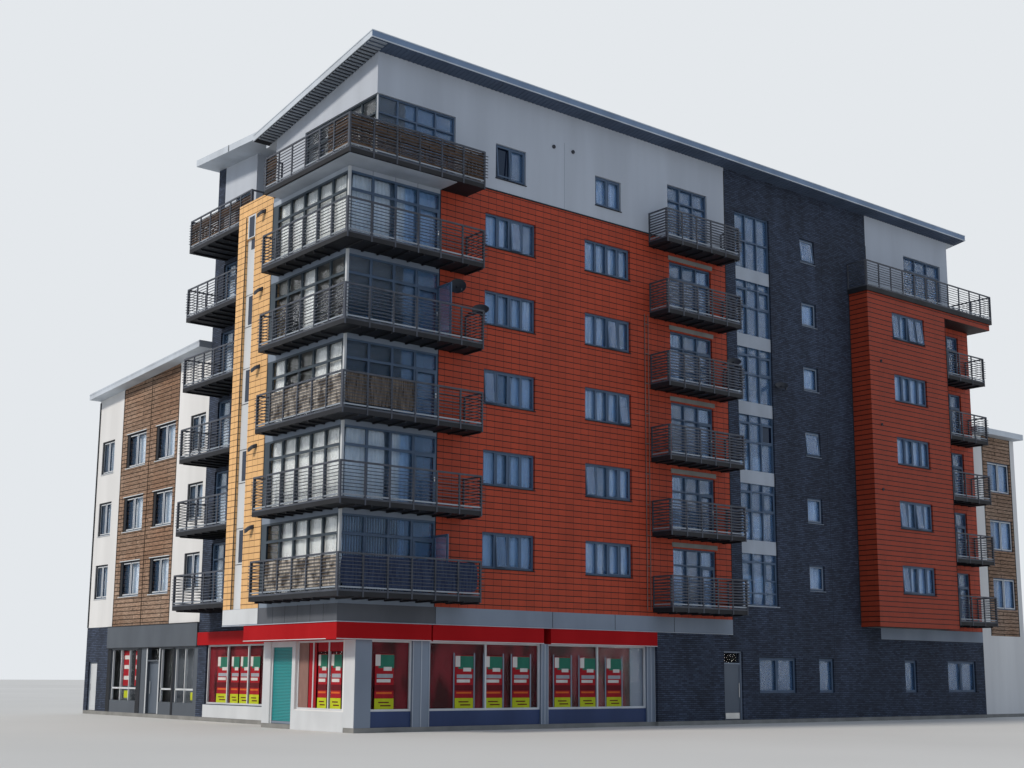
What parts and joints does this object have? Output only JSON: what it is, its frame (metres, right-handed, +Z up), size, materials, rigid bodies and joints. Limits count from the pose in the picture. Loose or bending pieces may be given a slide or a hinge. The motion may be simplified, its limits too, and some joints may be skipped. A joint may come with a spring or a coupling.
{
  "type": "apartment block",
  "caption": "Street-corner apartment block with glazed corner bay, railed balconies, terracotta and dark brick cladding, butterfly penthouse roof, shopfronts and lower side wing.",
  "frame": {"origin": "on the underside of the ground floor slab, below the middle of the tall block", "axes": "+X along the long front away from the glazed street corner, +Y from the long front towards the back and the side wing, +Z up"},
  "size_m": [39.68, 25.15, 22.71],
  "materials": {
    "concrete": "rough",
    "grey_panel": "satin",
    "red_fascia": "satin",
    "grey_frame": "satin",
    "window_glass": "clear",
    "white_render": "matt",
    "teal_shutter": "satin",
    "charcoal_brick": "matt",
    "door_metal": "satin",
    "orange_terracotta": "matt",
    "ochre_terracotta": "matt",
    "roof_metal": "brushed",
    "deck_metal": "satin",
    "rail_metal": "satin",
    "weathered_timber": "weathered",
    "dark_fascia": "satin"
  },
  "bodies": {
    "building": {"ground_slab": "concrete", "upper_floors": "concrete", "wing_floors": "concrete", "soffits": "concrete", "shop_columns": "grey_panel", "shop_fascia": "red_fascia", "side_fascia": "red_fascia", "shopfront_frames": "grey_frame", "shop_glass": "window_glass", "shop_side_wall": "white_render", "roller_shutter": "teal_shutter", "string_band": "grey_panel", "ground_brick_walls": "charcoal_brick", "door_lintels": "charcoal_brick", "door_frames": "grey_frame", "bay_front_frames": "grey_frame", "bay_side_frames": "grey_frame", "bay_front_glass": "window_glass", "bay_side_glass": "window_glass", "bay_front_spandrels": "grey_panel", "bay_side_spandrels": "grey_panel", "terracotta_wall": "orange_terracotta", "brick_wall": "charcoal_brick", "box_walls": "orange_terracotta", "end_recess_wall": "orange_terracotta", "window_frames": "grey_frame", "window_glass": "window_glass", "balcony_door_frames": "grey_frame", "balcony_door_glass": "window_glass", "ochre_wall": "ochre_terracotta", "slot_window": "window_glass", "recess_wall": "charcoal_brick", "brick_pier": "charcoal_brick", "end_walls": "charcoal_brick", "rear_wall": "charcoal_brick", "penthouse_front_walls": "white_render", "penthouse_side_walls": "white_render", "front_roof": "roof_metal", "rear_roof": "roof_metal", "wing_roofs": "roof_metal", "corner_decks": "deck_metal", "balcony_decks": "deck_metal", "terrace_deck": "deck_metal", "front_rails": "rail_metal", "side_rails": "rail_metal", "rail_ends": "rail_metal", "wing_render_walls": "white_render", "wing_timber_wall": "weathered_timber", "wing_fascia": "dark_fascia", "wing_shopfront": "dark_fascia", "wing_back_walls": "white_render"},
    "entrance_door": {"entrance_door": "door_metal"},
    "wing_shop_door": {"wing_shop_door": "door_metal"},
    "wing_end_door": {"wing_end_door": "door_metal"}
  },
  "joints": [
    {"name": "entrance_door_hinge", "type": "hinge", "parent": "building", "child": "entrance_door", "pos_m": [-0.046, -6.442, 0.166], "axis": [0, 0, 1], "range_deg": [0, 90]},
    {"name": "wing_shop_door_hinge", "type": "hinge", "parent": "building", "child": "wing_shop_door", "pos_m": [-15.317, 10.004, 0.166], "axis": [0, 0, 1], "range_deg": [-90, 0]},
    {"name": "wing_end_door_hinge", "type": "hinge", "parent": "building", "child": "wing_end_door", "pos_m": [-15.342, 16.264, 0.166], "axis": [0, 0, 1], "range_deg": [-90, 0]}
  ]
}
